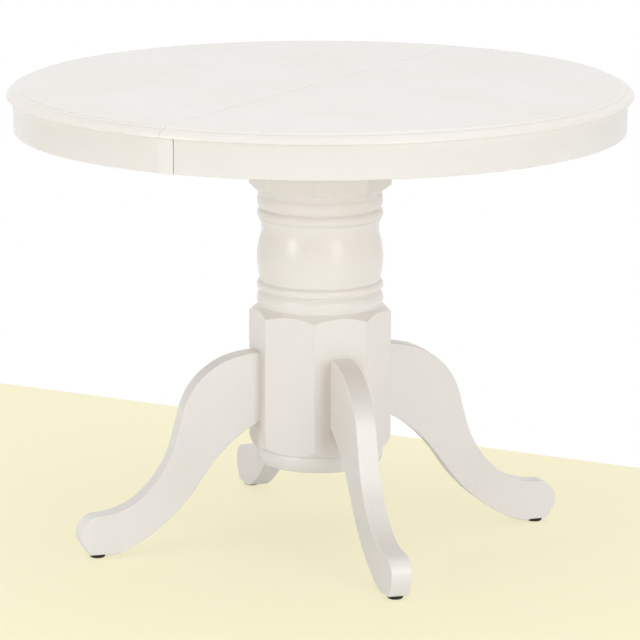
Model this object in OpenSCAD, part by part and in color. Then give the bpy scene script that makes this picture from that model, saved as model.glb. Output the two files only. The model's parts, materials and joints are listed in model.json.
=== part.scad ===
// Round pedestal extension table.
// Two half-round tops slide apart on geared wooden runners. They are carried by an
// octagonal and turned column that stands on four sawn legs.
// Millimetres, +Z up. The origin is on the floor under the column, and the joint
// between the two halves of the top runs along Y.

/* [Top] */
// Diameter of the closed top
top_d = 1016; // [1000:2:1060]
// Height of the top above the floor
table_h = 762; // [740:1:790]
// Thickness of the two top boards
top_t = 17; // [15.5:0.5:19]
// Width of the moulded edge
moulding_w = 20; // [15:0.5:24]
// Depth of the apron under the boards
apron_h = 56; // [52:0.5:64]
// Thickness of the bent apron
apron_t = 19; // [16:1:22]
// How far the moulded edge stands out over the apron
overhang = 11; // [6:1:16]
// How far each half pulls out
travel = 228.5; // [150:0.5:228.5]

/* [Column] */
// Width of the octagon across its corners
column_w = 233.5; // [228:0.5:240]
// Height of the column's foot above the floor
column_z = 135.5; // [130:0.5:142]
// Height at which the lower octagon ends in its turned shoulder
lower_shoulder_z = 385; // [380:0.5:390]
// Height at which the upper octagon starts above its turned shoulder
upper_shoulder_z = 597; // [592:0.5:602]
// Radius that the beads and the vase swell to
bead_r = 103.5; // [102:0.5:105.5]
// Radius of the bore up the middle of the column
bore_r = 72; // [66:1:76]
// Turn of the pedestal under the top, as it is bolted up
pedestal_turn = 2; // [-3:0.5:3]

/* [Legs] */
// Thickness of the legs
leg_t = 34.5; // [28:0.5:38]
// Height of the top of each leg where it meets the column
leg_top_z = 326.5; // [320:0.5:332]
// Height of the underside of each leg where it meets the column
leg_under_z = 211.5; // [206:0.5:217]
// Thickness of the glides
glide_t = 7; // [5:0.5:8]
// Diameter of the glides
glide_d = 25; // [22:1:28]
// Distance of the glides from the middle of the table
glide_r = 381; // [376:1:384]

/* [Slides] */
// Distance of the two slides from the middle, along Y
slide_y = 200; // [190:1:205]
// Thickness of each runner
runner_t = 22; // [20:0.5:24]
// Length of the fixed runners
fixed_l = 600; // [560:10:640]
// Outer end of the moving runners, from the middle
runner_out = 410; // [395:1:412]
// Reach of the moving runners past the joint
runner_in = 150; // [145:1:160]

/* [Gear] */
// Module of the pinion and the racks
gear_m = 2.5; // [2.5]
// Number of teeth of the pinion
pinion_n = 20; // [20]

/* [Hidden] */
$fn = 96;

// Paint and materials
top_white = [0.93, 0.91, 0.87];
body_white = [0.90, 0.87, 0.82];
beech = [0.80, 0.66, 0.47];
birch = [0.84, 0.74, 0.57];
zinc = [0.72, 0.73, 0.74];
nylon = [0.88, 0.87, 0.82];
black = [0.09, 0.09, 0.09];

// Sides and ends, as signs along X and Y
left = -1;
right = 1;
front = -1;
rear = 1;

// Heights of the top and of what hangs under it
top_under = table_h - top_t;
apron_bottom = top_under - apron_h;
apron_r = top_d / 2 - overhang;
apron_in = apron_r - apron_t;
split = 0.3; // half the open joint between the two boards
relief = 1; // room over a piece that passes under the other half
drop_x = 2; // a runner steps down by that room this far before the joint

// Board and runners, from the board upwards
board_t = 18;
board_z = apron_bottom - 3;
board_top = board_z + board_t;
board_x = 160;
board_y = slide_y + 40;
board_corner = 24;
fixed_top = top_under - 3.5;
moving_bottom = board_top + 2;
groove_z = board_top + 21;
groove_mouth = 6;
groove_depth = 7;
groove_flare = 2;
tongue_play = 0.4;
lane = runner_t + tongue_play;

// Stop pins and the slots that they run in
stop_r = 3;
stop_x = 100;
stop_z = groove_z + 12;
stop_out = 5;
slot_r = stop_r + 0.5;

// Screws: 4 mm wood screws with a flat head
screw_r = 2;
screw_play = 0.1;
screw_bite = 10;
head_r = 4;
head_t = 2.5;
sink_r = 5;
sink_z = moving_bottom + 24;

// Where the wood screws of the runners and the racks stand, along X
runner_screw_xs = [-120, 0, 120];
runner_hole_xs = [40, 150, 270, 390];
rack_screw_xs = [38, 74];

// Pinion and racks
pitch_r = gear_m * pinion_n / 2;
pressure = 20;
base_r = pitch_r * cos(pressure);
tip_r = pitch_r + gear_m;
root_r = pitch_r - 1.25 * gear_m;
rack_pitch = PI * gear_m;
backlash = 0.2;
rack_z = board_top + 6;
rack_t = 12;
rack_back = pitch_r + 15;
rack_in = travel + 16;
rack_out = 90;
rack_screw_y = pitch_r + 9.5;
rack_block_w = 34;
rack_block_in = 20;
plate_t = 2;
plate_w = 76;
plate_screw = 28;
plate_head_r = 3.4;
plate_head_t = 1.6;
axle_r = 5;
axle_play = 0.05;
pinion_z = board_top + plate_t + 1;
pinion_t = 18;
pinion_hole_at = 13.5;
pinion_hole_r = 3.6;
groove_r = axle_r - 1;
clip_z = pinion_z + pinion_t + 0.3;
clip_r = 8.5;
clip_t = 1;

// Locks
lock_y = 320;
lock_x = 35;
keeper_x = 25;
lock_reach = lock_x + keeper_x;
stud_r = 4;
lever_t = 3;
lever_w = 20;
lever_l = 88;
lever_tab = 12;
lock_plate = [54, 28, 2];
lock_plate_in = 8;
keeper_plate = [38, 22, 2];
keeper_plate_in = 6;
lock_plate_t = lock_plate[2];
lock_screw_xs = [16, 54];
keeper_screw_xs = [13, 37];
lever_z = top_under - lock_plate_t - 0.5 - lever_t;
rivet_r = 3;
rivet_head_r = 6;

// Cleats across the boards, keys in the corner of the apron, pins between the halves
cleat_x = 330;
cleat_w = 40;
cleat_t = 20;
cleat_y = slide_y - 45;
side_cleat_x = 200;
side_cleat_y = [slide_y + 45, 400];
key_angles = [15, 40, 55, 75];
key_width = 6;
key_w = 20;
pin_ys = [-410, -140, 140, 410];
pin_r = 4;
pin_z = top_under + top_t / 2;
pin_in = 36;
pin_out = 12;

// End blocks of the aprons, along X from the joint
block_left = 7.5;
block_right = 18.5;
block_d = 36;
block_back = 40;
block_up = 4;
end_gap = 1.3;

// Column
flat_r = column_w / 2 * cos(22.5);
column_top = board_z;
bore_top = column_top - 46;

// Coach screws that hold the board on the column
coach_at = 92;
coach_r = 3;
coach_bite = 50;
collar_r = 8;
collar_t = 1.5;
coach_head_r = 5.8;
coach_head_t = 3;

// Bolts that hold the legs
bolt_r = 4;
bolt_zs = [leg_under_z + 31.5, leg_top_z - 31.5];
bolt_in = 62;
bolt_out = 172;
seat_r = bore_r + 2;
washer_t = 2;
washer_r = 10;
nut_t = 6.5;
nut_r = 7.5;

// Pins of the glides
sole_z = glide_t;
glide_pin_r = 1.5;
glide_pin_l = 15;

// ---- Arcs and turned profiles ----

// Points of an arc about c from angle a to angle b
function arc(c, r, a, b, n = 10) =
    [for (i = [0 : n]) c + r * [cos(a + (b - a) * i / n), sin(a + (b - a) * i / n)]];

// Points on the way from a to b, without a: an arc that swells out to the right by s,
// a hollow where s is negative, or the point b alone where s is 0
function bow(a, b, s) =
    s == 0 ? [b]
    : let (d = b - a, c = norm(d), out = [d[1], -d[0]] / c, up = d / c)
      let (rad = (c * c / 4 + s * s) / (2 * s), t = asin(c / 2 / rad), n = ceil(abs(t) / 3))
      let (m = (a + b) / 2 + out * (s - rad))
      [for (i = [1 : n]) let (w = t * (2 * i / n - 1)) m + rad * (cos(w) * out + sin(w) * up)];

// Outline through stations [r, z, swell], where the last number is the swell on the
// way up to that station
function turned(stations) = concat([[stations[0][0], stations[0][1]]],
    [for (i = [1 : len(stations) - 1]) let (p = stations[i - 1], q = stations[i])
        each bow([p[0], p[1]], [q[0], q[1]], q[2])]);

// Turtle path of tangent arcs: each move is [radius, turn], and a positive turn is
// clockwise. A move with radius 0 runs straight for the given length.
function go(p, h, move, step = 5) =
    let (r = move[0], a = move[1])
    r == 0 ? [[p + a * [cos(h), sin(h)], h]]
    : let (n = ceil(abs(a) / step), s = sign(a), c = p + s * r * [sin(h), -cos(h)])
      [for (i = [1 : n]) let (g = h - a * i / n) [c - s * r * [sin(g), -cos(g)], g]];
function path(p, h, moves, i = 0) =
    i == len(moves) ? [p]
    : let (run = go(p, h, moves[i]), end = run[len(run) - 1])
      concat([p], [for (j = [0 : 1 : len(run) - 2]) run[j][0]], path(end[0], end[1], moves, i + 1));

// ---- Column ----

// Turned outline of the column. Where it is wider than the octagon, the flats stay.
module column_outline() {
    corner_r = column_w / 2;
    wide = corner_r + 4;
    foot = column_z + 25;
    low = lower_shoulder_z;
    up = upper_shoulder_z;
    b = bead_r;
    polygon(turned([
        [0, column_z, 0], [b - 5, column_z, 0],
        [b - 1.7, foot, 3.9], [b, foot + 0.3, 0], // foot bead
        [corner_r, foot + 17.5, 3], [wide, foot + 20.5, 0], // round under the flats
        [wide, low - 3.3, 0], [b - 2.6, low + 13.5, 0], // octagon and its shoulder
        [b - 2.6, low + 14.7, 0], [b - 6.5, low + 38.5, 4.6], // long bead
        [b - 3.4, low + 53.9, 5], [b - 3.8, low + 54, 0], // short bead
        [b - 4, low + 61, -0.5], [b - 5.4, up - 85.3, 4.7], // vase
        [b - 4.5, up - 55.3, -2.5], [b - 4.2, up - 55.2, 0], // neck
        [b - 4.9, up - 36.7, 4], [b - 3, up - 15, 3.35], // upper beads
        [b - 2.7, up - 11.2, 0.7], [corner_r, up + 0.2, -1.2], // quirk and hollow
        [wide, up + 2.6, 0], [wide, column_top, 0], [0, column_top, 0]]));
}

module at_leg(angle) {
    rotate([0, 0, angle + pedestal_turn]) children();
}
leg_angles = [-135, -45, 135, 45];

module along_radius(r, z) {
    translate([r, 0, z]) rotate([0, 90, 0]) children();
}

module column() {
    color(body_white) difference() {
        intersection() {
            rotate_extrude() column_outline();
            translate([0, 0, column_z]) rotate([0, 0, 22.5 + pedestal_turn])
                cylinder(r = column_w / 2, h = column_top - column_z, $fn = 8);
        }
        translate([0, 0, column_z - 1]) cylinder(r = bore_r, h = bore_top - column_z + 1);
        for (a = leg_angles, z = bolt_zs) at_leg(a) {
            along_radius(bore_r - 10, z) cylinder(r = bolt_r + 0.25, h = 60, $fn = 32);
            along_radius(bore_r - 10, z)
                cylinder(r = washer_r + 1, h = seat_r - bore_r + 10, $fn = 48);
        }
        for (a = leg_angles) at_leg(a)
            translate([coach_at, 0, column_top - coach_bite - 2])
                cylinder(r = coach_r + 0.05, h = coach_bite + 4, $fn = 32);
    }
}

// ---- Legs ----

// Side view of a leg, x outwards from the column's flat and y up. The upper edge
// is a shoulder, a long hollow and a round toe, and the lower edge is one slow S.
leg_upper = path([flat_r, leg_top_z], 0,
    [[170, 17], [121, 58.5], [0, 48], [171, -35], [119, -40], [31, 122]]);
leg_lower = path([flat_r, leg_under_z], -27, [[257, 30.2], [300, -31.2], [96, -26]]);
toe_heading = 17 + 58.5 - 35 - 40 + 122;
leg_lower_back = [for (i = [len(leg_lower) - 2 : -1 : 0]) leg_lower[i]];
toe_start = leg_upper[len(leg_upper) - 1];
toe_run = (toe_start[1] - sole_z) / sin(toe_heading);
toe_end = toe_start + toe_run * [cos(toe_heading), -sin(toe_heading)];
heel = [leg_lower[len(leg_lower) - 1][0], sole_z];

module leg(angle) {
    color(body_white) at_leg(angle) difference() {
        rotate([90, 0, 0]) linear_extrude(height = leg_t, center = true)
            polygon(concat(leg_upper, [toe_end, heel], leg_lower_back));
        for (z = bolt_zs)
            along_radius(flat_r - 1, z)
                cylinder(r = bolt_r + 0.05, h = bolt_out - flat_r + 2, $fn = 32);
        translate([glide_r, 0, sole_z - 1])
            cylinder(r = glide_pin_r + 0.05, h = glide_pin_l + 2, $fn = 24);
    }
}

// Nailed glide: a plastic disc with a rounded rim on a steel pin
module glide(angle) {
    r = glide_d / 2;
    pin_top = glide_t + glide_pin_l;
    color(black) at_leg(angle) translate([glide_r, 0, 0]) rotate_extrude($fn = 64)
        polygon(concat([[0, 0]],
            arc([r - 3, 3], 3, -90, 0, 5),
            arc([r - 1, glide_t - 1], 1, 0, 90, 3),
            [[glide_pin_r, glide_t], [glide_pin_r, pin_top], [0, pin_top]]));
}

module hanger_bolts() {
    color(zinc) for (a = leg_angles, z = bolt_zs) at_leg(a)
        along_radius(bolt_in, z) cylinder(r = bolt_r, h = bolt_out - bolt_in, $fn = 32);
}

module leg_washers() {
    color(zinc) for (a = leg_angles, z = bolt_zs) at_leg(a)
        along_radius(seat_r - washer_t, z) difference() {
            cylinder(r = washer_r, h = washer_t, $fn = 32);
            translate([0, 0, -1]) cylinder(r = bolt_r + 0.25, h = washer_t + 2, $fn = 32);
        }
}

module leg_nuts() {
    color(zinc) for (a = leg_angles, z = bolt_zs) at_leg(a)
        along_radius(seat_r - washer_t - nut_t, z) difference() {
            cylinder(r = nut_r, h = nut_t, $fn = 6);
            translate([0, 0, -1]) cylinder(r = bolt_r + 0.05, h = nut_t + 2, $fn = 32);
        }
}

// ---- Mounting board on the column ----

module mounting_board() {
    color(birch) difference() {
        translate([0, 0, board_z]) union() {
            translate([-board_x, -board_y + board_corner, 0])
                cube([2 * board_x, 2 * (board_y - board_corner), board_t]);
            translate([-board_x + board_corner, -board_y, 0])
                cube([2 * (board_x - board_corner), 2 * board_y, board_t]);
            for (x = [-1, 1], y = [-1, 1])
                translate([x * (board_x - board_corner), y * (board_y - board_corner), 0])
                    cylinder(r = board_corner, h = board_t);
        }
        for (a = leg_angles) at_leg(a) translate([coach_at, 0, board_z - 1])
            cylinder(r = coach_r + 0.25, h = board_t + 2, $fn = 32);
        for (x = runner_screw_xs, end = [front, rear])
            translate([x, end * slide_y, board_z - 1])
                cylinder(r = screw_r + screw_play, h = board_t + 2, $fn = 24);
        for (x = [-1, 1], y = [-1, 1])
            translate([x * plate_screw, y * plate_screw, board_top - screw_bite - 2])
                cylinder(r = screw_r + screw_play, h = screw_bite + 3, $fn = 24);
    }
}

// Coach screws down into the column, with washer heads
module board_screws() {
    color(zinc) for (a = leg_angles) at_leg(a) translate([coach_at, 0, board_top]) {
        translate([0, 0, -board_t - coach_bite])
            cylinder(r = coach_r, h = board_t + coach_bite, $fn = 32);
        cylinder(r = collar_r, h = collar_t, $fn = 32);
        translate([0, 0, collar_t]) cylinder(r = coach_head_r, h = coach_head_t, $fn = 6);
    }
}

// Screw that points up from z, with its head below
module screw_up(z, top) {
    translate([0, 0, z]) cylinder(r = screw_r, h = top - z, $fn = 24);
    translate([0, 0, z - head_t]) cylinder(r = head_r, h = head_t, $fn = 24);
}
module screw_way(z, top) {
    translate([0, 0, z]) cylinder(r = screw_r + screw_play, h = top - z, $fn = 24);
}

module runner_screws() {
    color(zinc) for (x = runner_screw_xs, end = [front, rear])
        translate([x, end * slide_y, 0]) screw_up(board_z, board_top + 12);
}

// ---- Runners ----

// Dovetail groove and the tongue that runs in it, drawn in (Y, Z) with the mouth of
// the groove, or the root of the tongue, on y = 0
module groove_section() {
    deep = groove_mouth + groove_flare;
    polygon([[-1, -groove_mouth], [0, -groove_mouth], [groove_depth, -deep],
        [groove_depth, deep], [0, groove_mouth], [-1, groove_mouth]]);
}
module tongue_section() {
    mouth = groove_mouth - 0.5;
    depth = groove_depth - 0.1;
    deep = mouth + groove_flare * depth / groove_depth;
    polygon([[0, -mouth], [depth, -deep], [depth, deep], [0, mouth]]);
}

// Extrudes a section drawn in (Y, Z) along X from x0 to x1
module along_x(x0, x1) {
    translate([x0, 0, 0]) rotate([90, 0, 90]) linear_extrude(height = x1 - x0) children();
}

module fixed_runner(end) {
    color(beech) translate([0, end * slide_y, 0]) difference() {
        along_x(-fixed_l / 2, fixed_l / 2) difference() {
            translate([-runner_t / 2, board_top]) square([runner_t, fixed_top - board_top]);
            for (face = [0, 1]) mirror([face, 0])
                translate([-runner_t / 2, groove_z]) groove_section();
        }
        for (side = [left, right]) translate([side * stop_x, 0, stop_z])
            rotate([side * 90, 0, 0]) cylinder(r = stop_r + 0.05, h = runner_t / 2 + 1, $fn = 32);
        for (x = runner_screw_xs) translate([x, 0, 0]) screw_way(board_top - 1, board_top + 12.5);
    }
}

// The left half's runners lie behind the fixed ones and the right half's in front of
// them, so that both slides are one piece of joinery, the second turned round
function runner_y(side, end) = end * slide_y - side * lane;

// Pins that end the travel, one in each lane
module stop_pins() {
    color(zinc) for (end = [front, rear], side = [left, right])
        translate([side * stop_x, end * slide_y, stop_z]) rotate([side * 90, 0, 0])
            cylinder(r = stop_r, h = runner_t / 2 + stop_out, $fn = 32);
}

// Moving runner of one half at one end, screwed up into the board through deep
// sinkings. The tongue runs in the fixed runner's groove and the slot takes the stop pin.
module moving_runner(side, end) {
    y = runner_y(side, end);
    face = y + side * runner_t / 2;
    color(beech) difference() {
        union() {
            translate([side > 0 ? drop_x : -runner_out, y - runner_t / 2, moving_bottom])
                cube([runner_out - drop_x, runner_t, top_under - moving_bottom]);
            translate([side > 0 ? -runner_in : -drop_x - 1, y - runner_t / 2, moving_bottom])
                cube([runner_in + drop_x + 1, runner_t, top_under - relief - moving_bottom]);
            translate([0, face, groove_z]) mirror([0, side < 0 ? 1 : 0, 0])
                along_x(side > 0 ? -runner_in : -runner_out, side > 0 ? runner_out : runner_in)
                    tongue_section();
        }
        translate([0, face, stop_z]) mirror([0, side > 0 ? 1 : 0, 0]) {
            near = side * (stop_x + 0.5);
            far = side * (stop_x - travel - 0.5);
            for (x = [near, far]) translate([x, -1, 0]) rotate([-90, 0, 0])
                cylinder(r = slot_r, h = stop_out + 2, $fn = 32);
            translate([min(near, far), -1, -slot_r])
                cube([abs(far - near), stop_out + 2, 2 * slot_r]);
        }
        for (x = runner_hole_xs) translate([side * x, y, 0]) {
            translate([0, 0, moving_bottom - 1])
                cylinder(r = sink_r, h = sink_z - moving_bottom + 1, $fn = 32);
            screw_way(sink_z - 1, top_under + 1);
        }
    }
}

// ---- Equaliser gear ----

// Half the angle of a pinion tooth at radius r, from the involute of its base circle.
// Inside that circle the flanks run straight to the middle.
function involute(a) = tan(a) * 180 / PI - a;
function tooth_half(r) =
    90 / pinion_n + involute(pressure) - involute(acos(min(1, base_r / r)));

module pinion() {
    steps = 6;
    radii = [root_r, for (i = [0 : steps]) base_r + (tip_r - base_r) * i / steps];
    tip = len(radii) - 1;
    color(nylon) translate([0, 0, pinion_z]) difference() {
        linear_extrude(height = pinion_t)
            polygon([for (k = [0 : pinion_n - 1], i = [0 : 2 * tip + 1])
                let (rising = i <= tip, r = radii[rising ? i : 2 * tip + 1 - i])
                let (a = 90 + k * 360 / pinion_n + (rising ? -1 : 1) * tooth_half(r))
                r * [cos(a), sin(a)]]);
        translate([0, 0, -1]) cylinder(r = axle_r + axle_play, h = pinion_t + 2);
        for (k = [0 : 4]) rotate([0, 0, k * 72]) translate([pinion_hole_at, 0, -1])
            cylinder(r = pinion_hole_r, h = pinion_t + 2, $fn = 32);
    }
}

// Rack teeth point to the pinion. A space of the rack stands opposite x = 0.
module rack_section(x0, x1) {
    half = rack_pitch / 4 - backlash / 2;
    tip = half - gear_m * tan(pressure);
    root = half + 1.25 * gear_m * tan(pressure);
    first = ceil((x0 + root) / rack_pitch - 0.5);
    last = floor((x1 - root) / rack_pitch - 0.5);
    root_y = pitch_r + 1.25 * gear_m;
    tip_y = pitch_r - gear_m + 0.15;
    polygon([[x0, rack_back], [x0, root_y],
        for (k = [first : last]) let (c = (k + 0.5) * rack_pitch) each
            [[c - root, root_y], [c - tip, tip_y], [c + tip, tip_y], [c + root, root_y]],
        [x1, root_y], [x1, rack_back]]);
}

// The left rack runs on the rear side of the pinion and reaches under the right
// half, and the right rack is the same piece turned about the pinion
module rack(side) {
    color(zinc) rotate([0, 0, side > 0 ? 180 : 0]) difference() {
        translate([0, 0, rack_z]) linear_extrude(height = rack_t)
            rack_section(-rack_out, rack_in);
        for (x = rack_screw_xs) translate([-x, rack_screw_y, 0])
            screw_way(rack_z - 1, rack_z + rack_t + 1);
    }
}

module rack_block(side) {
    color(beech) rotate([0, 0, side > 0 ? 180 : 0]) difference() {
        translate([-rack_out, pitch_r + 2, rack_z + rack_t])
            cube([rack_out - rack_block_in, rack_block_w, top_under - rack_z - rack_t]);
        for (x = rack_screw_xs) translate([-x, rack_screw_y, 0])
            screw_way(rack_z + rack_t - 1, top_under + 1);
    }
}

module gear_plate() {
    color(zinc) difference() {
        translate([-plate_w / 2, -plate_w / 2, board_top]) cube([plate_w, plate_w, plate_t]);
        translate([0, 0, board_top - 1]) cylinder(r = axle_r + 0.02, h = plate_t + 2);
        for (x = [-1, 1], y = [-1, 1])
            translate([x * plate_screw, y * plate_screw, board_top - 1])
                cylinder(r = screw_r + screw_play, h = plate_t + 2, $fn = 24);
    }
}

module plate_screws() {
    long = screw_bite + plate_t;
    color(zinc) for (x = [-1, 1], y = [-1, 1])
        translate([x * plate_screw, y * plate_screw, board_top + plate_t]) {
            translate([0, 0, -long]) cylinder(r = screw_r, h = long, $fn = 24);
            cylinder(r = plate_head_r, h = plate_head_t, $fn = 24);
        }
}

// Axle pressed into the plate, with a groove for the clip near its top
module pinion_axle() {
    groove_top = clip_z + clip_t + 0.2;
    color(zinc) rotate_extrude() polygon([
        [0, board_top], [axle_r, board_top], [axle_r, clip_z],
        [groove_r, clip_z], [groove_r, groove_top],
        [axle_r, groove_top], [axle_r - 0.6, groove_top + 2.2], [0, groove_top + 2.2]]);
}

module pinion_clip() {
    mouth = 6;
    color(zinc) translate([0, 0, clip_z + 0.1]) difference() {
        cylinder(r = clip_r, h = clip_t);
        translate([0, 0, -1]) cylinder(r = groove_r + 0.02, h = clip_t + 2);
        translate([0, -mouth / 2, -1]) cube([clip_r + 2, mouth, clip_t + 2]);
    }
}

// ---- Halves of the top ----

// Edge moulding: a low square step, a small hollow, and a round that falls away to
// the widest point just over the underside
module top_outline() {
    r = top_d / 2;
    step_r = r - moulding_w;
    step_z = table_h - 1.4;
    polygon(turned([
        [0, top_under, 0], [r - 1.5, top_under, 0], [r, top_under + 2, 0.4], // lip
        [step_r + 6, step_z - 3.1, 2.9], [step_r + 0.2, step_z, -0.5], // round and hollow
        [step_r, table_h, 0], [0, table_h, 0]]));
}

module on_side(side, gap) {
    big = top_d;
    intersection() {
        children();
        translate([side > 0 ? gap : -big - gap, -big, -1]) cube([big, 2 * big, 2 * table_h]);
    }
}

// Where screws go up into one half: [x, y, height of the head's seat]
function cleat_points(side) = [for (y = [-130, 0, 130]) [side * cleat_x, y, top_under - cleat_t]];
function side_cleat_points(side) =
    [for (end = [front, rear], y = [side_cleat_y[0] + 25, side_cleat_y[1] - 25])
        [side * side_cleat_x, end * y, top_under - cleat_t]];
function runner_points(side) =
    [for (end = [front, rear], x = runner_hole_xs) [side * x, runner_y(side, end), sink_z]];
function rack_points(side) = [for (x = rack_screw_xs) [side * x, -side * rack_screw_y, rack_z]];
function lock_points(side) =
    [for (end = [front, rear], x = side < 0 ? lock_screw_xs : keeper_screw_xs)
        [side * x, end * lock_y, top_under - lock_plate_t]];
function half_points(side) = concat(runner_points(side), cleat_points(side), side_cleat_points(side),
    rack_points(side));

module half_top(side) {
    hole_r = side < 0 ? pin_r + 0.02 : pin_r + 0.3;
    hole_from = side < 0 ? -pin_in - 0.5 : -1;
    hole_to = side < 0 ? 1 : pin_out + 2;
    color(top_white) difference() {
        on_side(side, split) rotate_extrude($fn = 180) top_outline();
        for (p = concat(half_points(side), lock_points(side))) translate([p[0], p[1], 0])
            screw_way(top_under - 1, top_under + screw_bite);
        for (y = pin_ys) translate([hole_from, y, pin_z]) rotate([0, 90, 0])
            cylinder(r = hole_r, h = hole_to - hole_from, $fn = 32);
    }
}

module aligning_pins() {
    long = pin_in + pin_out;
    color(beech) for (y = pin_ys) translate([-pin_in, y, pin_z]) rotate([0, 90, 0]) {
        cylinder(r = pin_r, h = long - 2, $fn = 32);
        translate([0, 0, long - 2]) cylinder(r1 = pin_r, r2 = pin_r - 1.5, h = 2, $fn = 32);
    }
}

module screws(side) {
    color(zinc) {
        for (p = half_points(side)) translate([p[0], p[1], 0])
            screw_up(p[2], top_under + screw_bite - 0.5);
        for (p = lock_points(side)) translate([p[0], p[1], p[2]]) {
            cylinder(r = screw_r, h = lock_plate_t + screw_bite - 0.5, $fn = 24);
            cylinder(r1 = head_r, r2 = screw_r, h = lock_plate_t, $fn = 32);
        }
    }
}
// ---- Apron ----

module apron_outline() {
    round = 2.5;
    polygon(concat([[apron_in, top_under], [apron_in, apron_bottom + 1]],
        [[apron_in + 1, apron_bottom]],
        arc([apron_r - round, apron_bottom + round], round, -90, 0, 5),
        [[apron_r, top_under]]));
}

module apron(side) {
    start = side < 0 ? -block_left : block_right + end_gap;
    color(body_white) intersection() {
        rotate_extrude($fn = 180) apron_outline();
        translate([side < 0 ? start - top_d : start, -top_d, 0])
            cube([top_d, 2 * top_d, table_h]);
    }
}

// Block glued inside the apron's end, cut round on its outer side
module inner_block(x, end) {
    y = end > 0 ? apron_r + 1 - block_d : -apron_r;
    intersection() {
        translate([x, y, apron_bottom + block_up])
            cube([block_back, block_d - 1, apron_h - block_up]);
        cylinder(r = apron_in, h = table_h, $fn = 720);
    }
}

// End block of the left apron: its face shows beside the joint, its tongue passes
// under the right half, and its back is glued inside the apron
module apron_block(end) {
    face = apron_r + 1;
    y = end > 0 ? face - block_d : -face;
    lap = 0.01;
    color(body_white) union() {
        translate([-block_left, y, apron_bottom])
            cube([block_left - split, block_d, apron_h]);
        translate([-split - lap, y, apron_bottom])
            cube([block_right + split + lap, block_d, apron_h - relief]);
        inner_block(-block_left - block_back + lap, end);
    }
}

module apron_end_blocks_right() {
    color(beech) for (end = [front, rear])
        inner_block(block_right + end_gap + 0.5, end);
}

module apron_keys(side) {
    color(beech) for (end = [front, rear], a = key_angles)
        rotate([0, 0, (side < 0 ? 180 : 0) + end * a - key_width / 2])
            rotate_extrude(angle = key_width) polygon([[apron_in, top_under],
                [apron_in - key_w, top_under], [apron_in, top_under - key_w]]);
}

module cleats(side) {
    side_l = side_cleat_y[1] - side_cleat_y[0];
    color(beech) difference() {
        translate([-cleat_w / 2, 0, top_under - cleat_t]) {
            translate([side * cleat_x, -cleat_y, 0]) cube([cleat_w, 2 * cleat_y, cleat_t]);
            for (y = [side_cleat_y[0], -side_cleat_y[1]])
                translate([side * side_cleat_x, y, 0]) cube([cleat_w, side_l, cleat_t]);
        }
        for (p = concat(cleat_points(side), side_cleat_points(side)))
            translate([p[0], p[1], 0]) screw_way(top_under - cleat_t - 1, top_under + 1);
    }
}

// ---- Locks ----

// Countersunk way through a lock's plate
module sunk_way() {
    screw_way(top_under - lock_plate_t - 1, top_under + 1);
    translate([0, 0, top_under - lock_plate_t]) cylinder(r1 = head_r + screw_play,
        r2 = screw_r + screw_play, h = lock_plate_t, $fn = 32);
}

// Flat plate under the board, with its lower corner nearest the joint at x
module sunk_plate(x, size, screws) {
    difference() {
        translate([x, -size[1] / 2, top_under - size[2]]) cube(size);
        for (p = screws) translate([p, 0, 0]) sunk_way();
    }
}

module lock_plates() {
    color(zinc) for (end = [front, rear]) translate([0, end * lock_y, 0]) {
        sunk_plate(-lock_plate_in - lock_plate[0], lock_plate, -lock_screw_xs);
        translate([-lock_x, 0, lever_z - 0.5]) cylinder(r = rivet_r, h = lever_t + 1.01, $fn = 48);
        translate([-lock_x, 0, lever_z - 2.5]) cylinder(r = rivet_head_r, h = 2, $fn = 48);
    }
}

module lock_keepers() {
    color(zinc) for (end = [front, rear]) translate([0, end * lock_y, 0]) {
        sunk_plate(keeper_plate_in, keeper_plate, keeper_screw_xs);
        translate([keeper_x, 0, lever_z - 1]) cylinder(r = stud_r, h = lever_t + 1.51, $fn = 48);
    }
}

// Lever with an arc-shaped mouth that swings over the keeper's stud, and a turned
// down finger tab. Drawn pointing to the rear from its rivet, as it lies unlocked.
module lock_lever(end) {
    mouth = 4.6;
    color(zinc) mirror([0, end < 0 ? 1 : 0, 0]) translate([-lock_x, lock_y, lever_z]) difference() {
        union() {
            cylinder(r = lever_w / 2 + 1, h = lever_t, $fn = 48);
            translate([-lever_w / 2, 0, 0]) cube([lever_w, lever_l, lever_t]);
            translate([-lever_w / 2, lever_l - lever_t, -lever_tab])
                cube([lever_w, lever_t, lever_tab + 0.01]);
        }
        translate([0, 0, -1]) cylinder(r = rivet_r + 0.05, h = lever_t + 2, $fn = 48);
        translate([0, lock_reach, -1]) cylinder(r = mouth, h = lever_t + 2, $fn = 48);
        intersection() {
            translate([0, 0, -1]) difference() {
                cylinder(r = lock_reach + mouth, h = lever_t + 2);
                translate([0, 0, -1]) cylinder(r = lock_reach - mouth, h = lever_t + 4);
            }
            translate([0, 0, -1]) cube([lever_w, lever_l, lever_t + 2]);
        }
    }
}

// ---- The table ----

column();
leg(-135);  // leg_front_left
leg(-45);  // leg_front_right
leg(135);  // leg_rear_left
leg(45);  // leg_rear_right
glide(-135);  // glide_front_left
glide(-45);  // glide_front_right
glide(135);  // glide_rear_left
glide(45);  // glide_rear_right
hanger_bolts();
leg_washers();
leg_nuts();
mounting_board();
board_screws();
fixed_runner(front);  // slide_front_fixed
fixed_runner(rear);  // slide_rear_fixed
runner_screws();
stop_pins();
gear_plate();
plate_screws();
pinion_axle();
pinion_clip();
pinion();
half_top(left);  // top_left
apron(left);  // apron_left
apron_block(front);  // apron_block_front
apron_block(rear);  // apron_block_rear
moving_runner(left, front);  // slide_front_left
moving_runner(left, rear);  // slide_rear_left
rack(left);  // rack_left
rack_block(left);  // rack_block_left
cleats(left);  // cleats_left
apron_keys(left);  // apron_keys_left
aligning_pins();
lock_plates();
screws(left);  // screws_left
half_top(right);  // top_right
apron(right);  // apron_right
apron_end_blocks_right();
moving_runner(right, front);  // slide_front_right
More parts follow.
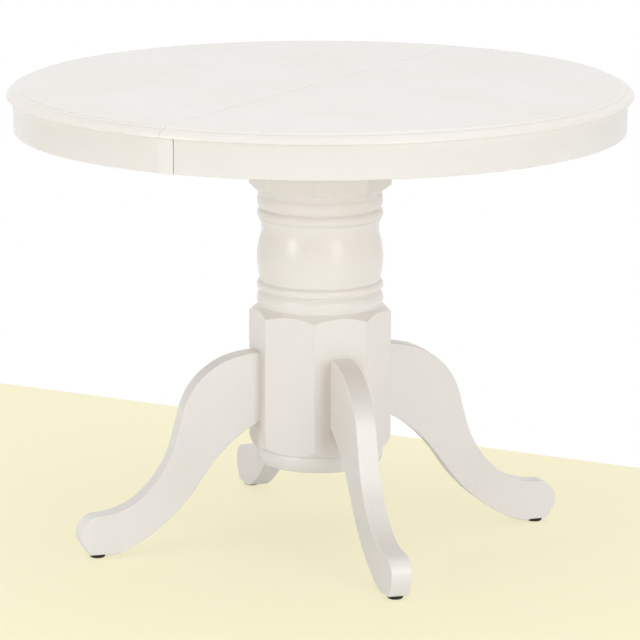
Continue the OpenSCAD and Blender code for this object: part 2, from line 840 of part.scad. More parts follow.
moving_runner(right, rear);  // slide_rear_right
rack(right);  // rack_right
rack_block(right);  // rack_block_right
cleats(right);  // cleats_right
apron_keys(right);  // apron_keys_right
lock_keepers();
screws(right);  // screws_right
lock_lever(front);  // lock_lever_front
lock_lever(rear);  // lock_lever_rear
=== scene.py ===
# The looks of a round pedestal extension table, built round its CAD frame.
# The file follows the table as it is put together: column, legs, board, runners and
# gear, then the two half tops with their aprons, cleats and locks, then the floor
# and the lamps. Sizes are metres.
import json
import math

import bmesh
import bpy
from mathutils import Euler, Matrix, Vector

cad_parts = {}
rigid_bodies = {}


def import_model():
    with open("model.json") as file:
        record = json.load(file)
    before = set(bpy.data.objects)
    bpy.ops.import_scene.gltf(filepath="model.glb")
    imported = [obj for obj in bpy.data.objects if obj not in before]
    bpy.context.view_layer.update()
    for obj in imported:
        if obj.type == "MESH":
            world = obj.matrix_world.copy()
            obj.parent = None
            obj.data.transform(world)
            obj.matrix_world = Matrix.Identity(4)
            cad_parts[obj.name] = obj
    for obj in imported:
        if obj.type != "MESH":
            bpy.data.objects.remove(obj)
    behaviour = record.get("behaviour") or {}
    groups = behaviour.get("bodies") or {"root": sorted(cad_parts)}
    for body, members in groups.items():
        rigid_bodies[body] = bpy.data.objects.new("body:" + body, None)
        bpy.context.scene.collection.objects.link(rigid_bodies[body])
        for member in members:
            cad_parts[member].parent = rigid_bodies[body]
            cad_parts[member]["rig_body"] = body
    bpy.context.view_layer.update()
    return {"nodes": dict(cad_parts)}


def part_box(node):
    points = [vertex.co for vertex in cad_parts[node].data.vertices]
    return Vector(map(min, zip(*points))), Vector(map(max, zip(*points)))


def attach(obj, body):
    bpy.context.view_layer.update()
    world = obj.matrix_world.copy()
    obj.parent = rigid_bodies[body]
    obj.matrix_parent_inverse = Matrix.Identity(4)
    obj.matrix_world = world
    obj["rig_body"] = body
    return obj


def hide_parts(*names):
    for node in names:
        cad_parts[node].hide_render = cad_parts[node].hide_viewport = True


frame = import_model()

# ---- Where the table is looked at from ----
# A long lens a good step back, a little over the height of the top, turned so that
# one leg comes forward and the joint of the top shows on the left.
turn = math.radians(28.8)
tilt = math.radians(90 - 12.008)
roll = math.radians(0.092)
eye = Vector((3.1512, -5.7320, 1.7610))
bpy.ops.object.camera_add(location=eye)
camera = bpy.context.object
camera.name = "camera"
aim = Euler((tilt, 0, turn)).to_matrix() @ Matrix.Rotation(roll, 3, "Z")
camera.rotation_euler = aim.to_euler()
camera.data.sensor_width = 36
camera.data.lens = 229.4
camera.data.clip_end = 100
bpy.context.scene.camera = camera
bpy.context.scene.view_settings.view_transform = "Standard"

# ---- Column ----
# Glued up from poplar, cut to an octagon and turned between its two ends, with a bore
# up the middle. Sprayed antique white outside and in the mouth of the bore.
weld = 0.000001  # points nearer than this are one point
touch = 0.0001  # faces nearer than this touch


def colour(red, green, blue):
    """A colour on the usual scale of 0 to 255, as the linear light that Blender mixes."""
    return [((part / 255 + 0.055) / 1.055) ** 2.4 for part in (red, green, blue)] + [1.0]


class Value:
    """An output in a material. Arithmetic on it adds the Math nodes that work it out."""

    def __init__(self, socket):
        self.socket = socket

    def node(self, kind, settings=None, inputs=None, out=0):
        """Adds a node of any other kind beside this value and returns its output."""
        made = self.socket.id_data.nodes.new("ShaderNode" + kind)
        for name, setting in (settings or {}).items():
            setattr(made, name, setting)
        for name, given in (inputs or {}).items():
            if isinstance(given, Value):
                self.socket.id_data.links.new(given.socket, made.inputs[name])
            else:
                made.inputs[name].default_value = given
        return Value(made.outputs[out])

    def math(self, operation, one, other=0.0):
        """The result of one Math node."""
        return self.node("Math", {"operation": operation}, {0: one, 1: other})

    def __add__(self, other):
        return self.math("ADD", self, other)

    def __sub__(self, other):
        return self.math("SUBTRACT", self, other)

    def __rsub__(self, other):
        return self.math("SUBTRACT", other, self)

    def __mul__(self, other):
        return self.math("MULTIPLY", self, other)

    def __gt__(self, other):
        return self.math("GREATER_THAN", self, other)

    def __lt__(self, other):
        return self.math("LESS_THAN", self, other)

    def __mod__(self, other):
        return self.math("MODULO", self, other)

    def __abs__(self):
        return self.math("ABSOLUTE", self)

    __radd__ = __add__
    __rmul__ = __mul__

    def between(self, low, high):
        """0 below low, 1 above high, with a smooth rise from one to the other."""
        return self.node("MapRange", {"interpolation_type": "SMOOTHSTEP"}, {0: self, 1: low, 2: high})

    def part(self, axis):
        """The X, Y or Z of a place or a direction."""
        return self.node("SeparateXYZ", None, {0: self}, axis)

    def stretched(self, x, y, z):
        """The place with each axis multiplied, so that a pattern draws out along an axis."""
        return self.node("VectorMath", {"operation": "MULTIPLY"}, {0: self, 1: (x, y, z)})

    def noise(self, scale, detail=2.0, roughness=0.5, distortion=0.0):
        """Soft random clouds, about 1 / scale metres across."""
        return self.node("TexNoise", None, {"Vector": self, "Scale": scale, "Detail": detail,
                                            "Roughness": roughness, "Distortion": distortion})

    def blend(self, one, other):
        """A mix of two colours, with this value as the share of the other one."""
        return self.node("Mix", {"data_type": "RGBA"}, {0: self, 6: one, 7: other}, 2)

    def away(self, point):
        """How far the place is from a point."""
        return self.node("VectorMath", {"operation": "DISTANCE"}, {0: self, 1: point}, 1)

    def bump(self, height, strength):
        """A normal bent by this height, which is given in metres at its tallest."""
        return self.node("Bump", None, {"Height": self, "Strength": strength, "Distance": height})


def material(name):
    """A new material with its shader, the place on the piece and the way its surface faces."""
    made = bpy.data.materials.new(name)
    made.use_nodes = True
    tree = made.node_tree
    coordinates = tree.nodes.new("ShaderNodeTexCoord")
    shader = tree.nodes["Principled BSDF"]
    return made, shader, Value(coordinates.outputs["Object"]), Value(coordinates.outputs["Normal"])


def finish(shader, **inputs):
    """Plugs values into a shader's sockets, and sets the sockets that are the same all over."""
    for name, given in inputs.items():
        socket = shader.inputs[name.replace("_", " ")]
        if isinstance(given, Value):
            shader.id_data.links.new(given.socket, socket)
        else:
            socket.default_value = given


def paint(name, coat, gloss, *layers):
    """Sprayed lacquer with a little orange peel, a few dark specks caught in it, and over
    it any layers: each gives a mask, the colour there and how much rougher it is."""
    made, shader, place, facing = material(name)
    cloud = place.noise(5, 3)
    thin = place.stretched(1, 1, 0.15).noise(160, 2)
    tone = cloud.between(0.35, 0.75) * 0.6 + thin * 0.4
    yellower = (0.955, 0.945, 0.915, 1)
    skin = tone.blend(coat, [part * share for part, share in zip(coat, yellower)])
    speck = place.node("TexVoronoi", None, {"Vector": place, "Scale": 16.0}) < 0.011
    skin = (speck * 0.7).blend(skin, colour(120, 92, 60))
    peel = place.noise(420, 1) * 0.6 + place.noise(1500, 1) * 0.4
    rough = gloss + place.noise(40, 2) * 0.06
    for layer in layers:
        mask, shade, rougher = layer(place, facing)
        skin = mask.blend(skin, shade)
        rough = rough + mask * rougher
    finish(shader, Base_Color=skin, Roughness=rough, Normal=peel.bump(0.00006, 0.35))
    return made


def linked(name, mesh):
    """A new object in the scene, which is the only one that is selected."""
    piece = bpy.data.objects.new(name, mesh)
    bpy.context.scene.collection.objects.link(piece)
    bpy.ops.object.select_all(action="DESELECT")
    piece.select_set(True)
    bpy.context.view_layer.objects.active = piece
    return piece


def stand_in(piece, node, made):
    """Gives the piece its material and puts it on the node's body in place of the node."""
    piece.data.materials.clear()
    piece.data.materials.append(made)
    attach(piece, frame["nodes"][node]["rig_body"])
    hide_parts(node)


def eased(node, width, made, segments=2, keep=None):
    """The node's solid with its arrises rubbed down by width. It stands for the CAD node.
    keep tells the points whose edges stay crisp, where another piece closes on them."""
    piece = linked(node + "_eased", frame["nodes"][node].data.copy())
    bpy.ops.object.mode_set(mode="EDIT")
    bpy.ops.mesh.select_all(action="SELECT")
    bpy.ops.mesh.customdata_custom_splitnormals_clear()
    bpy.ops.mesh.remove_doubles(threshold=weld)
    bpy.ops.mesh.dissolve_limited(angle_limit=math.radians(0.3))
    bpy.ops.mesh.select_mode(type="EDGE")
    bpy.ops.mesh.select_all(action="DESELECT")
    bpy.ops.mesh.edges_select_sharp(sharpness=math.radians(30))
    if keep:
        mesh = bmesh.from_edit_mesh(piece.data)
        for edge in mesh.edges:
            if edge.select and all(keep(corner.co) for corner in edge.verts):
                edge.select_set(False)
        bmesh.update_edit_mesh(piece.data)
    bpy.ops.mesh.bevel(offset=width, segments=segments, affect="EDGES", clamp_overlap=False)
    bpy.ops.object.mode_set(mode="OBJECT")
    bpy.ops.object.shade_smooth_by_angle(angle=math.radians(40))
    weigh = piece.modifiers.new("flat_faces", "WEIGHTED_NORMAL")
    weigh.keep_sharp = True
    bpy.ops.object.modifier_apply(modifier=weigh.name)
    stand_in(piece, node, made)
    return piece


column_low, column_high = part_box("column")
bore = 0.073  # radius that takes in the whole wall of the bore
cream = colour(238, 236, 233)
raw_poplar = colour(206, 184, 148)


def bare_bore(place, facing):
    """Overspray thins out up the bore, and past it the poplar is bare."""
    across = place.part(0) * place.part(0) + place.part(1) * place.part(1)
    inside = across < bore * bore
    reach = place.part(2) + place.noise(30, 3) * 0.05
    grain = place.stretched(220, 220, 6).noise(1, 4)
    wood = grain.blend(raw_poplar, colour(182, 155, 116))
    mouth, past_spray = column_low.z + 0.03, column_low.z + 0.10
    return inside * reach.between(mouth, past_spray), wood, 0.3


def outward(node):
    """The level direction from the middle of the table to a glide, as its leg points."""
    low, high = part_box(node)
    return Vector((low.x + high.x, low.y + high.y, 0)).normalized()


def painted_corner_shade(place, facing):
    """Painted shade: the paint is darker and browner in the corners beside the roots of the legs, where
    their shadow falls on the column.
    """
    out = outward("glide_front_right")
    root_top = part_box("leg_front_right")[1].z
    corner, faded = 0.024, 0.044
    bottom, full = 0.16, 0.22
    near = 0.0
    for along in (out, Vector((-out.y, out.x, 0))):
        beside = place.node("VectorMath", {"operation": "DOT_PRODUCT"}, {0: place, 1: along}, 1)
        near = 1 - abs(beside).between(corner, faded) + near
    height = place.part(2) + place.noise(25, 2) * 0.02
    height = height.between(bottom, full) * (1 - height.between(root_top - 0.005, root_top + 0.02))
    return near.math("MINIMUM", near, 1.0) * height * 0.22, colour(196, 158, 98), 0.05


# The column's paint carries painted shade in the corners beside the legs.
column_paint = paint("column_paint", cream, 0.22, bare_bore, painted_corner_shade)
eased("column", 0.0009, column_paint,
      keep=lambda corner: corner.z > column_high.z - touch)

# ---- Legs ----
# Bandsawn from 34 mm boards, with the arrises rounded over by hand before the paint.
# Each stands against a flat of the column and is drawn up to it by two hanger bolts.
leg_paint = paint("leg_paint", cream, 0.22)
for end in ("front", "rear"):
    for side in ("left", "right"):
        node = f"leg_{end}_{side}"
        out = outward(f"glide_{end}_{side}")
        root = min(corner.co.dot(out) for corner in frame["nodes"][node].data.vertices)
        eased(node, 0.0018, leg_paint, 3,
              lambda corner, out=out, root=root: corner.dot(out) < root + touch)

# ---- Glides ----
# Black plastic glides nailed under the feet, scuffed where they slide over the floor.


def dress(made, *nodes):
    """Gives a material to CAD nodes whose shape stays as it is."""
    for node in nodes:
        frame["nodes"][node].material_slots[0].material = made


def moulded(name, dark, light, gloss):
    """Moulded plastic: faint flow marks, a fine grain, and a duller skin in patches."""
    made, shader, place = material(name)[:3]
    flow = place.noise(70, 2, 0.5, 1.5).between(0.3, 0.7)
    worn = place.noise(260, 3).between(0.5, 0.62)
    skin = (flow * 0.5 + worn * 0.5).blend(dark, light)
    finish(shader, Base_Color=skin, Roughness=gloss + worn * 0.18)
    finish(shader, Normal=place.noise(2400, 1).bump(0.00004, 0.3))
    return made, shader, place, skin


glide_black, glide_worn = colour(22, 21, 20), colour(44, 43, 41)
black_plastic, shader, place, skin = moulded("black_plastic", glide_black, glide_worn, 0.42)
sole, wall = 0.0006, 0.0022
scuffed = (1 - place.part(2).between(sole, wall)) * place.noise(420, 3).between(0.42, 0.55)
finish(shader, Base_Color=scuffed.blend(skin, colour(112, 106, 98)))
for end in ("front", "rear"):
    dress(black_plastic, f"glide_{end}_left", f"glide_{end}_right")

# ---- Hanger bolts, washers and nuts ----
# M8 bolts that screw into the roots of the legs and come through into the bore, where
# a spanner draws up each nut on its washer. Rolled threads, zinc plated.


def plated(name, gloss=0.34):
    """Zinc plate: a bluish silver with cloudy patches, fine scratches and dull spots."""
    made, shader, place = material(name)[:3]
    patches = place.noise(90, 3).between(0.35, 0.7)
    fine = place.stretched(1, 1, 0.08).noise(2600, 2).between(0.3, 0.7)
    spots = place.noise(900, 1).between(0.66, 0.72)
    silver = patches.blend(colour(200, 203, 208), colour(172, 173, 172))
    silver = (spots * 0.6).blend(silver, colour(138, 131, 118))
    finish(shader, Base_Color=silver, Metallic=1.0)
    finish(shader, Roughness=gloss + patches * 0.1 + fine * 0.08 + spots * 0.2)
    finish(shader, Normal=fine.bump(0.00002, 0.3))
    return made


def lathe(name, outline, steps):
    """A solid spun round Z from an outline of (radius, height) pairs in millimetres that
    starts and ends on the axis."""
    mesh = bpy.data.meshes.new(name)
    mesh.from_pydata([(reach / 1000, 0, height / 1000) for reach, height in outline],
                     [(step, step + 1) for step in range(len(outline) - 1)], [])
    spun = linked(name, mesh)
    bpy.ops.object.mode_set(mode="EDIT")
    bpy.ops.mesh.select_all(action="SELECT")
    bpy.ops.mesh.spin(steps=steps, angle=2 * math.pi, center=(0, 0, 0), axis=(0, 0, 1))
    bpy.ops.mesh.select_all(action="SELECT")
    bpy.ops.mesh.remove_doubles(threshold=weld)
    bpy.ops.mesh.normals_make_consistent(inside=False)
    bpy.ops.object.mode_set(mode="OBJECT")
    return spun


def solids(node):
    """The lowest and highest corner of each separate solid of a CAD node, and its points."""
    work = bmesh.new()
    work.from_mesh(frame["nodes"][node].data)
    bmesh.ops.remove_doubles(work, verts=work.verts, dist=weld)
    found, seen = [], set()
    for start in work.verts:
        if start in seen:
            continue
        seen.add(start)
        points, ahead = [], [start]
        while ahead:
            corner = ahead.pop()
            points.append(corner.co.copy())
            for edge in corner.link_edges:
                other = edge.other_vert(corner)
                if other not in seen:
                    seen.add(other)
                    ahead.append(other)
        spans = [[point[axis] for point in points] for axis in range(3)]
        found.append((Vector(map(min, spans)), Vector(map(max, spans)), points))
    work.free()
    return found


def planted(name, node, made, places):
    """One piece that stands for the node: a copy of a master in each place, which is
    given as (master, matrix, where its shank starts, how many times as long it is)."""
    work = bmesh.new()
    for master, lay, neck, stretch in places:
        before = len(work.verts)
        work.from_mesh(master.data)
        work.verts.ensure_lookup_table()
        for corner in work.verts[before:]:
            if corner.co.z > neck:
                corner.co.z = neck + (corner.co.z - neck) * stretch
            corner.co = lay @ corner.co
    mesh = bpy.data.meshes.new(name)
    work.to_mesh(mesh)
    work.free()
    piece = linked(name, mesh)
    bpy.ops.object.mode_set(mode="EDIT")
    bpy.ops.mesh.select_all(action="SELECT")
    bpy.ops.mesh.normals_make_consistent(inside=False)
    bpy.ops.object.mode_set(mode="OBJECT")
    bpy.ops.object.shade_smooth_by_angle(angle=math.radians(35))
    stand_in(piece, node, made)


zinc = plated("zinc_plate")
bolts = []
for low, high, points in solids("hanger_bolts"):
    middle = (low + high) / 2
    out = Vector((middle.x, middle.y, 0)).normalized()
    reaches = [point.dot(out) for point in points]
    bolts.append((out, min(reaches), max(reaches) - min(reaches), middle.z))
    radius = (high.z - low.z) / 2 * 1000

# The master in millimetres: the thread is drawn as rings, a pitch apart.
pitch = 1.25
laps = 17
valley = radius - 0.62
crest = radius - 0.05
chamfer = 0.9
thread_end = chamfer + laps * pitch
bolt_length = 40
ring = [(valley, 0), (crest, 0.44 * pitch), (crest, 0.56 * pitch)]
threads = [(reach, chamfer + lap * pitch + step) for lap in range(laps) for reach, step in ring]
shank = [(valley, thread_end), (radius, thread_end + 0.6), (radius, thread_end + 2), (radius, bolt_length)]
bolt_outline = [(0, 0), (radius - chamfer, 0)] + threads + shank + [(0, bolt_length)]
bolt = lathe("hanger_bolt_master", bolt_outline, 24)
neck = (thread_end + 1) / 1000
places = []
for out, start, length, height in bolts:
    lay = Matrix.Rotation(math.atan2(out.y, out.x), 4, "Z") @ Matrix.Rotation(math.radians(90), 4, "Y")
    lay = Matrix.Translation(out * start + Vector((0, 0, height))) @ lay
    places.append((bolt, lay, neck, (length - neck) / (bolt_length / 1000 - neck)))
planted("hanger_bolts_threaded", "hanger_bolts", zinc, places)
bpy.data.objects.remove(bolt)
eased("leg_nuts", 0.0004, zinc)
eased("leg_washers", 0.0002, zinc)

# ---- Mounting board ----
# Thirteen-ply birch with its arrises sanded, held on the column by four coach screws.
# Its underside was sprayed together with the column.
board_low, board_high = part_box("mounting_board")
plies = 13
birch, shader, place, facing = material("birch_plywood")
figure = place.stretched(0.12, 1, 1).noise(38, 4, 0.55, 1.2).between(0.3, 0.7)
pores = place.stretched(0.05, 1, 1).noise(1400, 2).between(0.45, 0.7)
veneer = figure.blend(colour(224, 200, 160), colour(205, 173, 128))
veneer = (pores * 0.35).blend(veneer, colour(168, 131, 88))
layer = ((place.part(2) - board_low.z) * (plies / (board_high.z - board_low.z))) % 2.0
crossing = place.noise(700, 3).between(0.35, 0.65)
light_ply = crossing.blend(colour(222, 194, 150), colour(202, 170, 124))
dark_ply = crossing.blend(colour(172, 132, 88), colour(146, 106, 66))
edge = abs(facing.part(2)) < 0.6
sprayed = (facing.part(2) < -0.5) * 0.75
ply = edge.blend(veneer, (layer > 1.0).blend(light_ply, dark_ply))
finish(shader, Base_Color=sprayed.blend(ply, cream))
finish(shader, Roughness=0.55 + pores * 0.12 + edge * 0.12)
finish(shader, Normal=(pores + crossing * edge).bump(0.00012, 0.4))
eased("mounting_board", 0.0008, birch)
eased("board_screws", 0.0004, zinc)

# ---- Runners ----
# Planed beech, waxed: the fixed pair is screwed to the board from below, and in its
# dovetail grooves run the tongues of the four runners that carry the halves.


def beech(name, along, tint=1.0):
    """Beech with its grain along an axis: faint bands, dark flecks and grey end grain."""
    made, shader, place, facing = material(name)
    draw = [1.0, 1.0, 1.0]
    draw[along] = 0.05
    bands = place.stretched(*draw).noise(55, 3, 0.55, 0.8).between(0.3, 0.7)
    fibres = place.stretched(*draw).noise(1500, 2).between(0.35, 0.7)
    draw[along] = 0.22
    flecks = place.stretched(*draw).noise(1100, 1).between(0.60, 0.66)
    light = [part * tint for part in colour(222, 184, 138)[:3]] + [1.0]
    dark = [part * tint for part in colour(196, 150, 102)[:3]] + [1.0]
    wood = (bands * 0.7 + fibres * 0.3).blend(light, dark)
    wood = (flecks * 0.32).blend(wood, colour(150, 102, 64))
    sawn = abs(facing.part(along)) > 0.8
    pores = place.noise(1800, 2).between(0.45, 0.6)
    wood = sawn.blend(wood, pores.blend(colour(178, 136, 94), colour(140, 100, 66)))
    handled = place.noise(14, 3).between(0.55, 0.75)
    wood = (handled * 0.18).blend(wood, colour(120, 92, 66))
    finish(shader, Base_Color=wood, Roughness=0.42 + fibres * 0.12 + sawn * 0.2)
    finish(shader, Normal=(fibres + pores * sawn).bump(0.0001, 0.35))
    return made


lengthways = beech("beech_runners", 0)
for end in ("front", "rear"):
    dress(lengthways, f"slide_{end}_fixed", f"slide_{end}_left", f"slide_{end}_right")
dress(zinc, "stop_pins")


def cross_cut(master, wide=0.0022, thick=0.0006, deep=0.0016):
    """Cuts a tapered cross recess into the master's head, which lies at height 0. The
    cutter starts above the head, a little wider than the cross, and narrows downwards."""
    cutter = bpy.data.objects.new("cross_cutter", bpy.data.meshes.new("cross_cutter"))
    work = bmesh.new()
    rings = []
    for height, size in ((-0.0006, 1.1), (deep, 0.45)):
        ring = []
        for quarter in range(4):
            turned = Matrix.Rotation(quarter * math.pi / 2, 3, "Z")
            for x, y in ((thick, thick), (thick, -thick), (wide, -thick), (wide, thick)):
                if (x, y) != (thick, thick):
                    ring.append(work.verts.new(turned @ Vector((x * size, y * size, height))))
        rings.append(ring)
    around = len(rings[0])
    for step in range(around):
        ahead = (step + 1) % around
        work.faces.new((rings[0][step], rings[0][ahead], rings[1][ahead], rings[1][step]))
    for ring in rings:
        work.faces.new(ring)
    bmesh.ops.recalc_face_normals(work, faces=work.faces)
    work.to_mesh(cutter.data)
    work.free()
    bpy.context.scene.collection.objects.link(cutter)
    cut = master.modifiers.new("recess", "BOOLEAN")
    cut.operation = "DIFFERENCE"
    cut.solver = "EXACT"
    cut.object = cutter
    bpy.ops.object.select_all(action="DESELECT")
    master.select_set(True)
    bpy.context.view_layer.objects.active = master
    bpy.ops.object.modifier_apply(modifier=cut.name)
    bpy.data.objects.remove(cutter)


# The masters in millimetres, with the head down: a pan head and a flat head.
head = 2.5
screw_length = 20
shank = [(2, 3), (1.9, 3.2), (1.9, 16), (0.3, screw_length), (0, screw_length)]
pan_head = [(0, 0), (1.9, 0.06), (2.9, 0.32), (3.6, 0.85), (3.95, 1.6), (4, 2.1), (3.9, head), (2, head)]
flat_head = [(0, 0.02), (3.7, 0.02), (3.95, 0.2), (2, 2)]
pan_screw = lathe("pan_screw_master", pan_head + shank, 32)
cross_cut(pan_screw)
flat_screw = lathe("flat_screw_master", flat_head + shank, 32)
cross_cut(flat_screw)


def drawn_out(length):
    """How many times as long as the masters' shank the shank of such a screw is."""
    return (length - head / 1000) / (screw_length / 1000 - head / 1000)


def screws_up(node):
    """Wood screws for the node's plain ones, which all stand head down. A pan head is
    still wide at the height at which a flat head has run into its shank."""
    flat_head_done, shank_wide = 0.0022, 0.0035
    places = []
    for low, high, points in solids(node):
        middle = (low + high) / 2
        upper = [point for point in points if point.z > low.z + flat_head_done]
        reach = max((point.xy - middle.xy).length for point in upper)
        master = pan_screw if reach > shank_wide else flat_screw
        lay = Matrix.Translation((middle.x, middle.y, low.z))
        places.append((master, lay, head / 1000, drawn_out(high.z - low.z)))
    planted(node + "_crossed", node, zinc, places)


screws_up("runner_screws")

# ---- Gear plate, pinion and clip ----
# A steel plate on the board carries the axle of the nylon pinion, which a clip keeps on.
eased("gear_plate", 0.0003, zinc)
thinner, shorter = 0.85, 0.64
places = []
for low, high, _ in solids("plate_screws"):
    middle = (low + high) / 2
    lay = Matrix.Translation((middle.x, middle.y, high.z)) @ Matrix.Rotation(math.pi, 4, "X")
    lay = lay @ Matrix.Diagonal((thinner, thinner, shorter, 1))
    places.append((pan_screw, lay, head / 1000, drawn_out((high.z - low.z) / shorter)))
planted("plate_screws_crossed", "plate_screws", zinc, places)
eased("pinion_axle", 0.0002, zinc)
dress(plated("spring_steel", 0.25), "pinion_clip")
ivory, shaded_ivory = colour(226, 221, 206), colour(206, 199, 180)
nylon, shader, place, skin = moulded("gear_nylon", ivory, shaded_ivory, 0.4)
tooth_root, tooth_face = 0.019, 0.0245
out = place.stretched(1, 1, 0).away((0, 0, 0))
grease = out.between(tooth_root, tooth_face) * place.noise(300, 3).between(0.35, 0.6)
finish(shader, Base_Color=(grease * 0.55).blend(skin, colour(120, 110, 92)))
finish(shader, Roughness=0.42 - grease * 0.15)
dress(nylon, "pinion")

# ---- Racks and their blocks ----
# Steel racks, one on each half, that mesh with the pinion from its two sides.
dress(plated("rack_steel", 0.3), "rack_left", "rack_right")
for node in ("rack_block_left", "rack_block_right"):
    eased(node, 0.0005, lengthways)

# ---- Tops ----
# Half rounds of edge-glued rubberwood staves that run along the joint, with the edge
# moulded on a shaper. Painted above and round the edge, and thinly sprayed underneath.
rim = (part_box("top_right")[1].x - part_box("top_left")[0].x) / 2
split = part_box("top_right")[0].x + touch
stave = 0.055  # width of a stave
glue_line = 0.0004  # half the width of the line between two staves


def thin_underside(place, facing):
    """Staves of slightly different colours that show through one thin coat, with thicker,
    ragged overspray at the rim."""
    number = place.part(0) * (1 / stave)
    number = number.math("FLOOR", number)
    shade = place.node("TexWhiteNoise", {"noise_dimensions": "1D"}, {"W": number})
    fibres = place.stretched(1, 0.04, 1).noise(420, 4).between(0.3, 0.7)
    wood = (shade * 0.55 + fibres * 0.45).blend(colour(228, 208, 174), colour(200, 171, 130))
    crack = abs((place.part(0) + 10 * stave) % stave - stave / 2) > stave / 2 - glue_line
    wood = (crack * 0.5).blend(wood, colour(142, 108, 72))
    out = place.stretched(1, 1, 0).away((0, 0, 0)) + place.noise(22, 4) * 0.05
    under = (facing.part(2) < -0.7) * (1 - out.between(rim - 0.02, rim + 0.005))
    return under * 0.4, wood, 0.35


top_paint = paint("top_paint", colour(240, 236, 231), 0.20, thin_underside)
for node in ("top_left", "top_right"):
    eased(node, 0.0006, top_paint, keep=lambda corner: abs(corner.x) < split)
crossways = beech("beech_crossways", 1, 0.94)
for node in ("cleats_left", "cleats_right"):
    eased(node, 0.0008, crossways)
eased("aligning_pins", 0.0004, lengthways)

# ---- Aprons ----
# Bent from poplar laminations round the half tops, with keys glued into the corner
# behind. The left half has end blocks that close the front and the rear of the ring,
# and the right apron is drawn a little closer to them than the CAD part stands.
apron_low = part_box("apron_left")[0]
inner_face = -apron_low.x - 0.0185  # just outside the inner face, as a radius


def bare_inside(place, facing):
    """Past the overspray along the lower edge the inner lamination is bare."""
    out = place.stretched(1, 1, 0).away((0, 0, 0))
    fibres = place.stretched(0.2, 0.2, 4).noise(160, 4).between(0.3, 0.7)
    wood = fibres.blend(colour(214, 190, 150), colour(186, 156, 114))
    height = place.part(2) + place.noise(35, 4) * 0.02
    inside = (out < inner_face) * height.between(apron_low.z + 0.008, apron_low.z + 0.03)
    return inside, wood, 0.35


# Painted shade: the apron's cream is a touch darker than the paint on the column and legs.
apron_paint = paint("apron_paint", colour(236, 234, 230), 0.22, bare_inside)
eased("apron_left", 0.0006, apron_paint)
closing = eased("apron_right", 0.0006, apron_paint)
end_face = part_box("apron_right")[0].x
at_the_end, closed_by = 0.0015, 0.0004
for corner in closing.data.vertices:
    if corner.co.x < end_face + at_the_end:
        corner.co.x -= closed_by
# The end blocks have their own paint, a touch lighter than the apron's.
block_paint = paint("block_paint", colour(239, 237, 234), 0.22, bare_inside)
for node in ("apron_block_front", "apron_block_rear"):
    eased(node, 0.0006, block_paint)
for node in ("apron_keys_left", "apron_keys_right", "apron_end_blocks_right"):
    eased(node, 0.0008, crossways)
screws_up("screws_left")
screws_up("screws_right")
for master in (pan_screw, flat_screw):
    bpy.data.objects.remove(master)

# ---- Locks ----
# Pressed steel levers that swing over studs on the other half and hold the joint shut.
for node, width in (("lock_plates", 0.0003), ("lock_keepers", 0.0003),
                    ("lock_lever_front", 0.0004), ("lock_lever_rear", 0.0004)):
    eased(node, width, zinc)

# ---- Floor and backdrop ----
# A plain pale floor that ends a little behind the table, with white beyond it.
bpy.ops.mesh.primitive_plane_add(size=1, location=(0, 0, 0))
floor = bpy.context.object
floor.name = "floor"
floor_wide, floor_deep = 16, 8
behind = 0.6973  # how far the floor goes on behind the middle of the table
skew = math.radians(0.544)
bpy.ops.object.mode_set(mode="EDIT")
bpy.ops.mesh.select_all(action="SELECT")
bpy.ops.transform.resize(value=(floor_wide, floor_deep, 1))
bpy.ops.transform.translate(value=(0, behind - floor_deep / 2, 0))
bpy.ops.transform.rotate(value=skew, orient_axis="Z", center_override=(0, 0, 0))
bpy.ops.object.mode_set(mode="OBJECT")
pale, shader, place = material("pale_floor")[:3]
straw = colour(251, 245, 212)
bounced = colour(254, 251, 243)
seen = place.node("LightPath")
finish(shader, Base_Color=seen.blend(bounced, straw), Roughness=0.6)
glow = seen.node("Emission", None, {"Color": straw, "Strength": 1.0})
cover = seen.node("MixShader", None, {0: seen * 0.75, 1: Value(shader.outputs[0]), 2: glow})
pale.node_tree.links.new(cover.socket, pale.node_tree.nodes["Material Output"].inputs["Surface"])
floor.data.materials.append(pale)

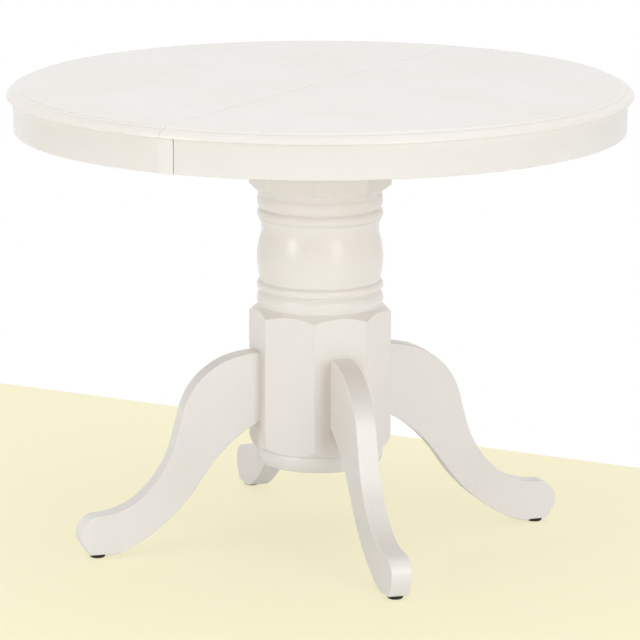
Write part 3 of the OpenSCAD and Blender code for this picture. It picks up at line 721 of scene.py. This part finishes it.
# ---- Studio light ----
# Plain white to the camera and in reflections. What lights the table is a bright ceiling
# straight above it and a low band all round, strong behind and on the right.
ceiling, between_them = 1.8, 0.12
band_behind, band_left, more_on_the_right = 1.6, 0.72, 1.25
world = bpy.data.worlds.new("studio")
bpy.context.scene.world = world
world.use_nodes = True
sky = world.node_tree.nodes["Background"]
rays = world.node_tree.nodes.new("ShaderNodeLightPath")
seen = Value(rays.outputs["Is Camera Ray"]) + Value(rays.outputs["Is Glossy Ray"])
seen = seen + Value(rays.outputs["Is Transmission Ray"])
seen = seen.math("MINIMUM", seen, 1.0)
way = Value(world.node_tree.nodes.new("ShaderNodeTexCoord").outputs["Generated"])
rise = way.part(2)
across = way.part(0) * math.cos(turn) + way.part(1) * math.sin(turn)
along = way.part(1) * math.cos(turn) - way.part(0) * math.sin(turn)
low = 1 - rise.between(0.15, 0.45)
back = along.between(0.2, 0.4)
right = across.between(-0.1, 0.1)
band = back * band_behind + (1 - back) * (band_left + right * more_on_the_right)
band = low * rise.between(-0.02, 0.02) * band
studio = (1 - low) * between_them + rise.between(0.7, 0.95) * ceiling + band
finish(sky, Color=(1, 1, 1, 1), Strength=seen + (1 - seen) * studio)

# ---- Lamps ----
# Two tall soft boxes, one on either side of the camera, which draw the highlights. The
# one on the left stands further round and is the stronger one.


def softbox(name, round_by, height, away, width, tall, power):
    """An area lamp turned round_by degrees from the camera, aimed at the column."""
    angle = turn + math.radians(round_by)
    spot = Vector((math.sin(angle) * away, -math.cos(angle) * away, height))
    aim = Vector((0, 0, 0.45))
    bpy.ops.object.light_add(type="AREA", location=spot)
    lamp = bpy.context.object
    lamp.name = name
    lamp.data.shape = "RECTANGLE"
    lamp.data.size = width
    lamp.data.size_y = tall
    lamp.data.energy = power
    lamp.rotation_euler = (spot - aim).to_track_quat("Z", "Y").to_euler()


softbox("key", round_by=31.5, height=1.55, away=3.4, width=1.0, tall=1.9, power=21)
softbox("fill", round_by=-54, height=1.55, away=3.4, width=0.8, tall=1.8, power=26)
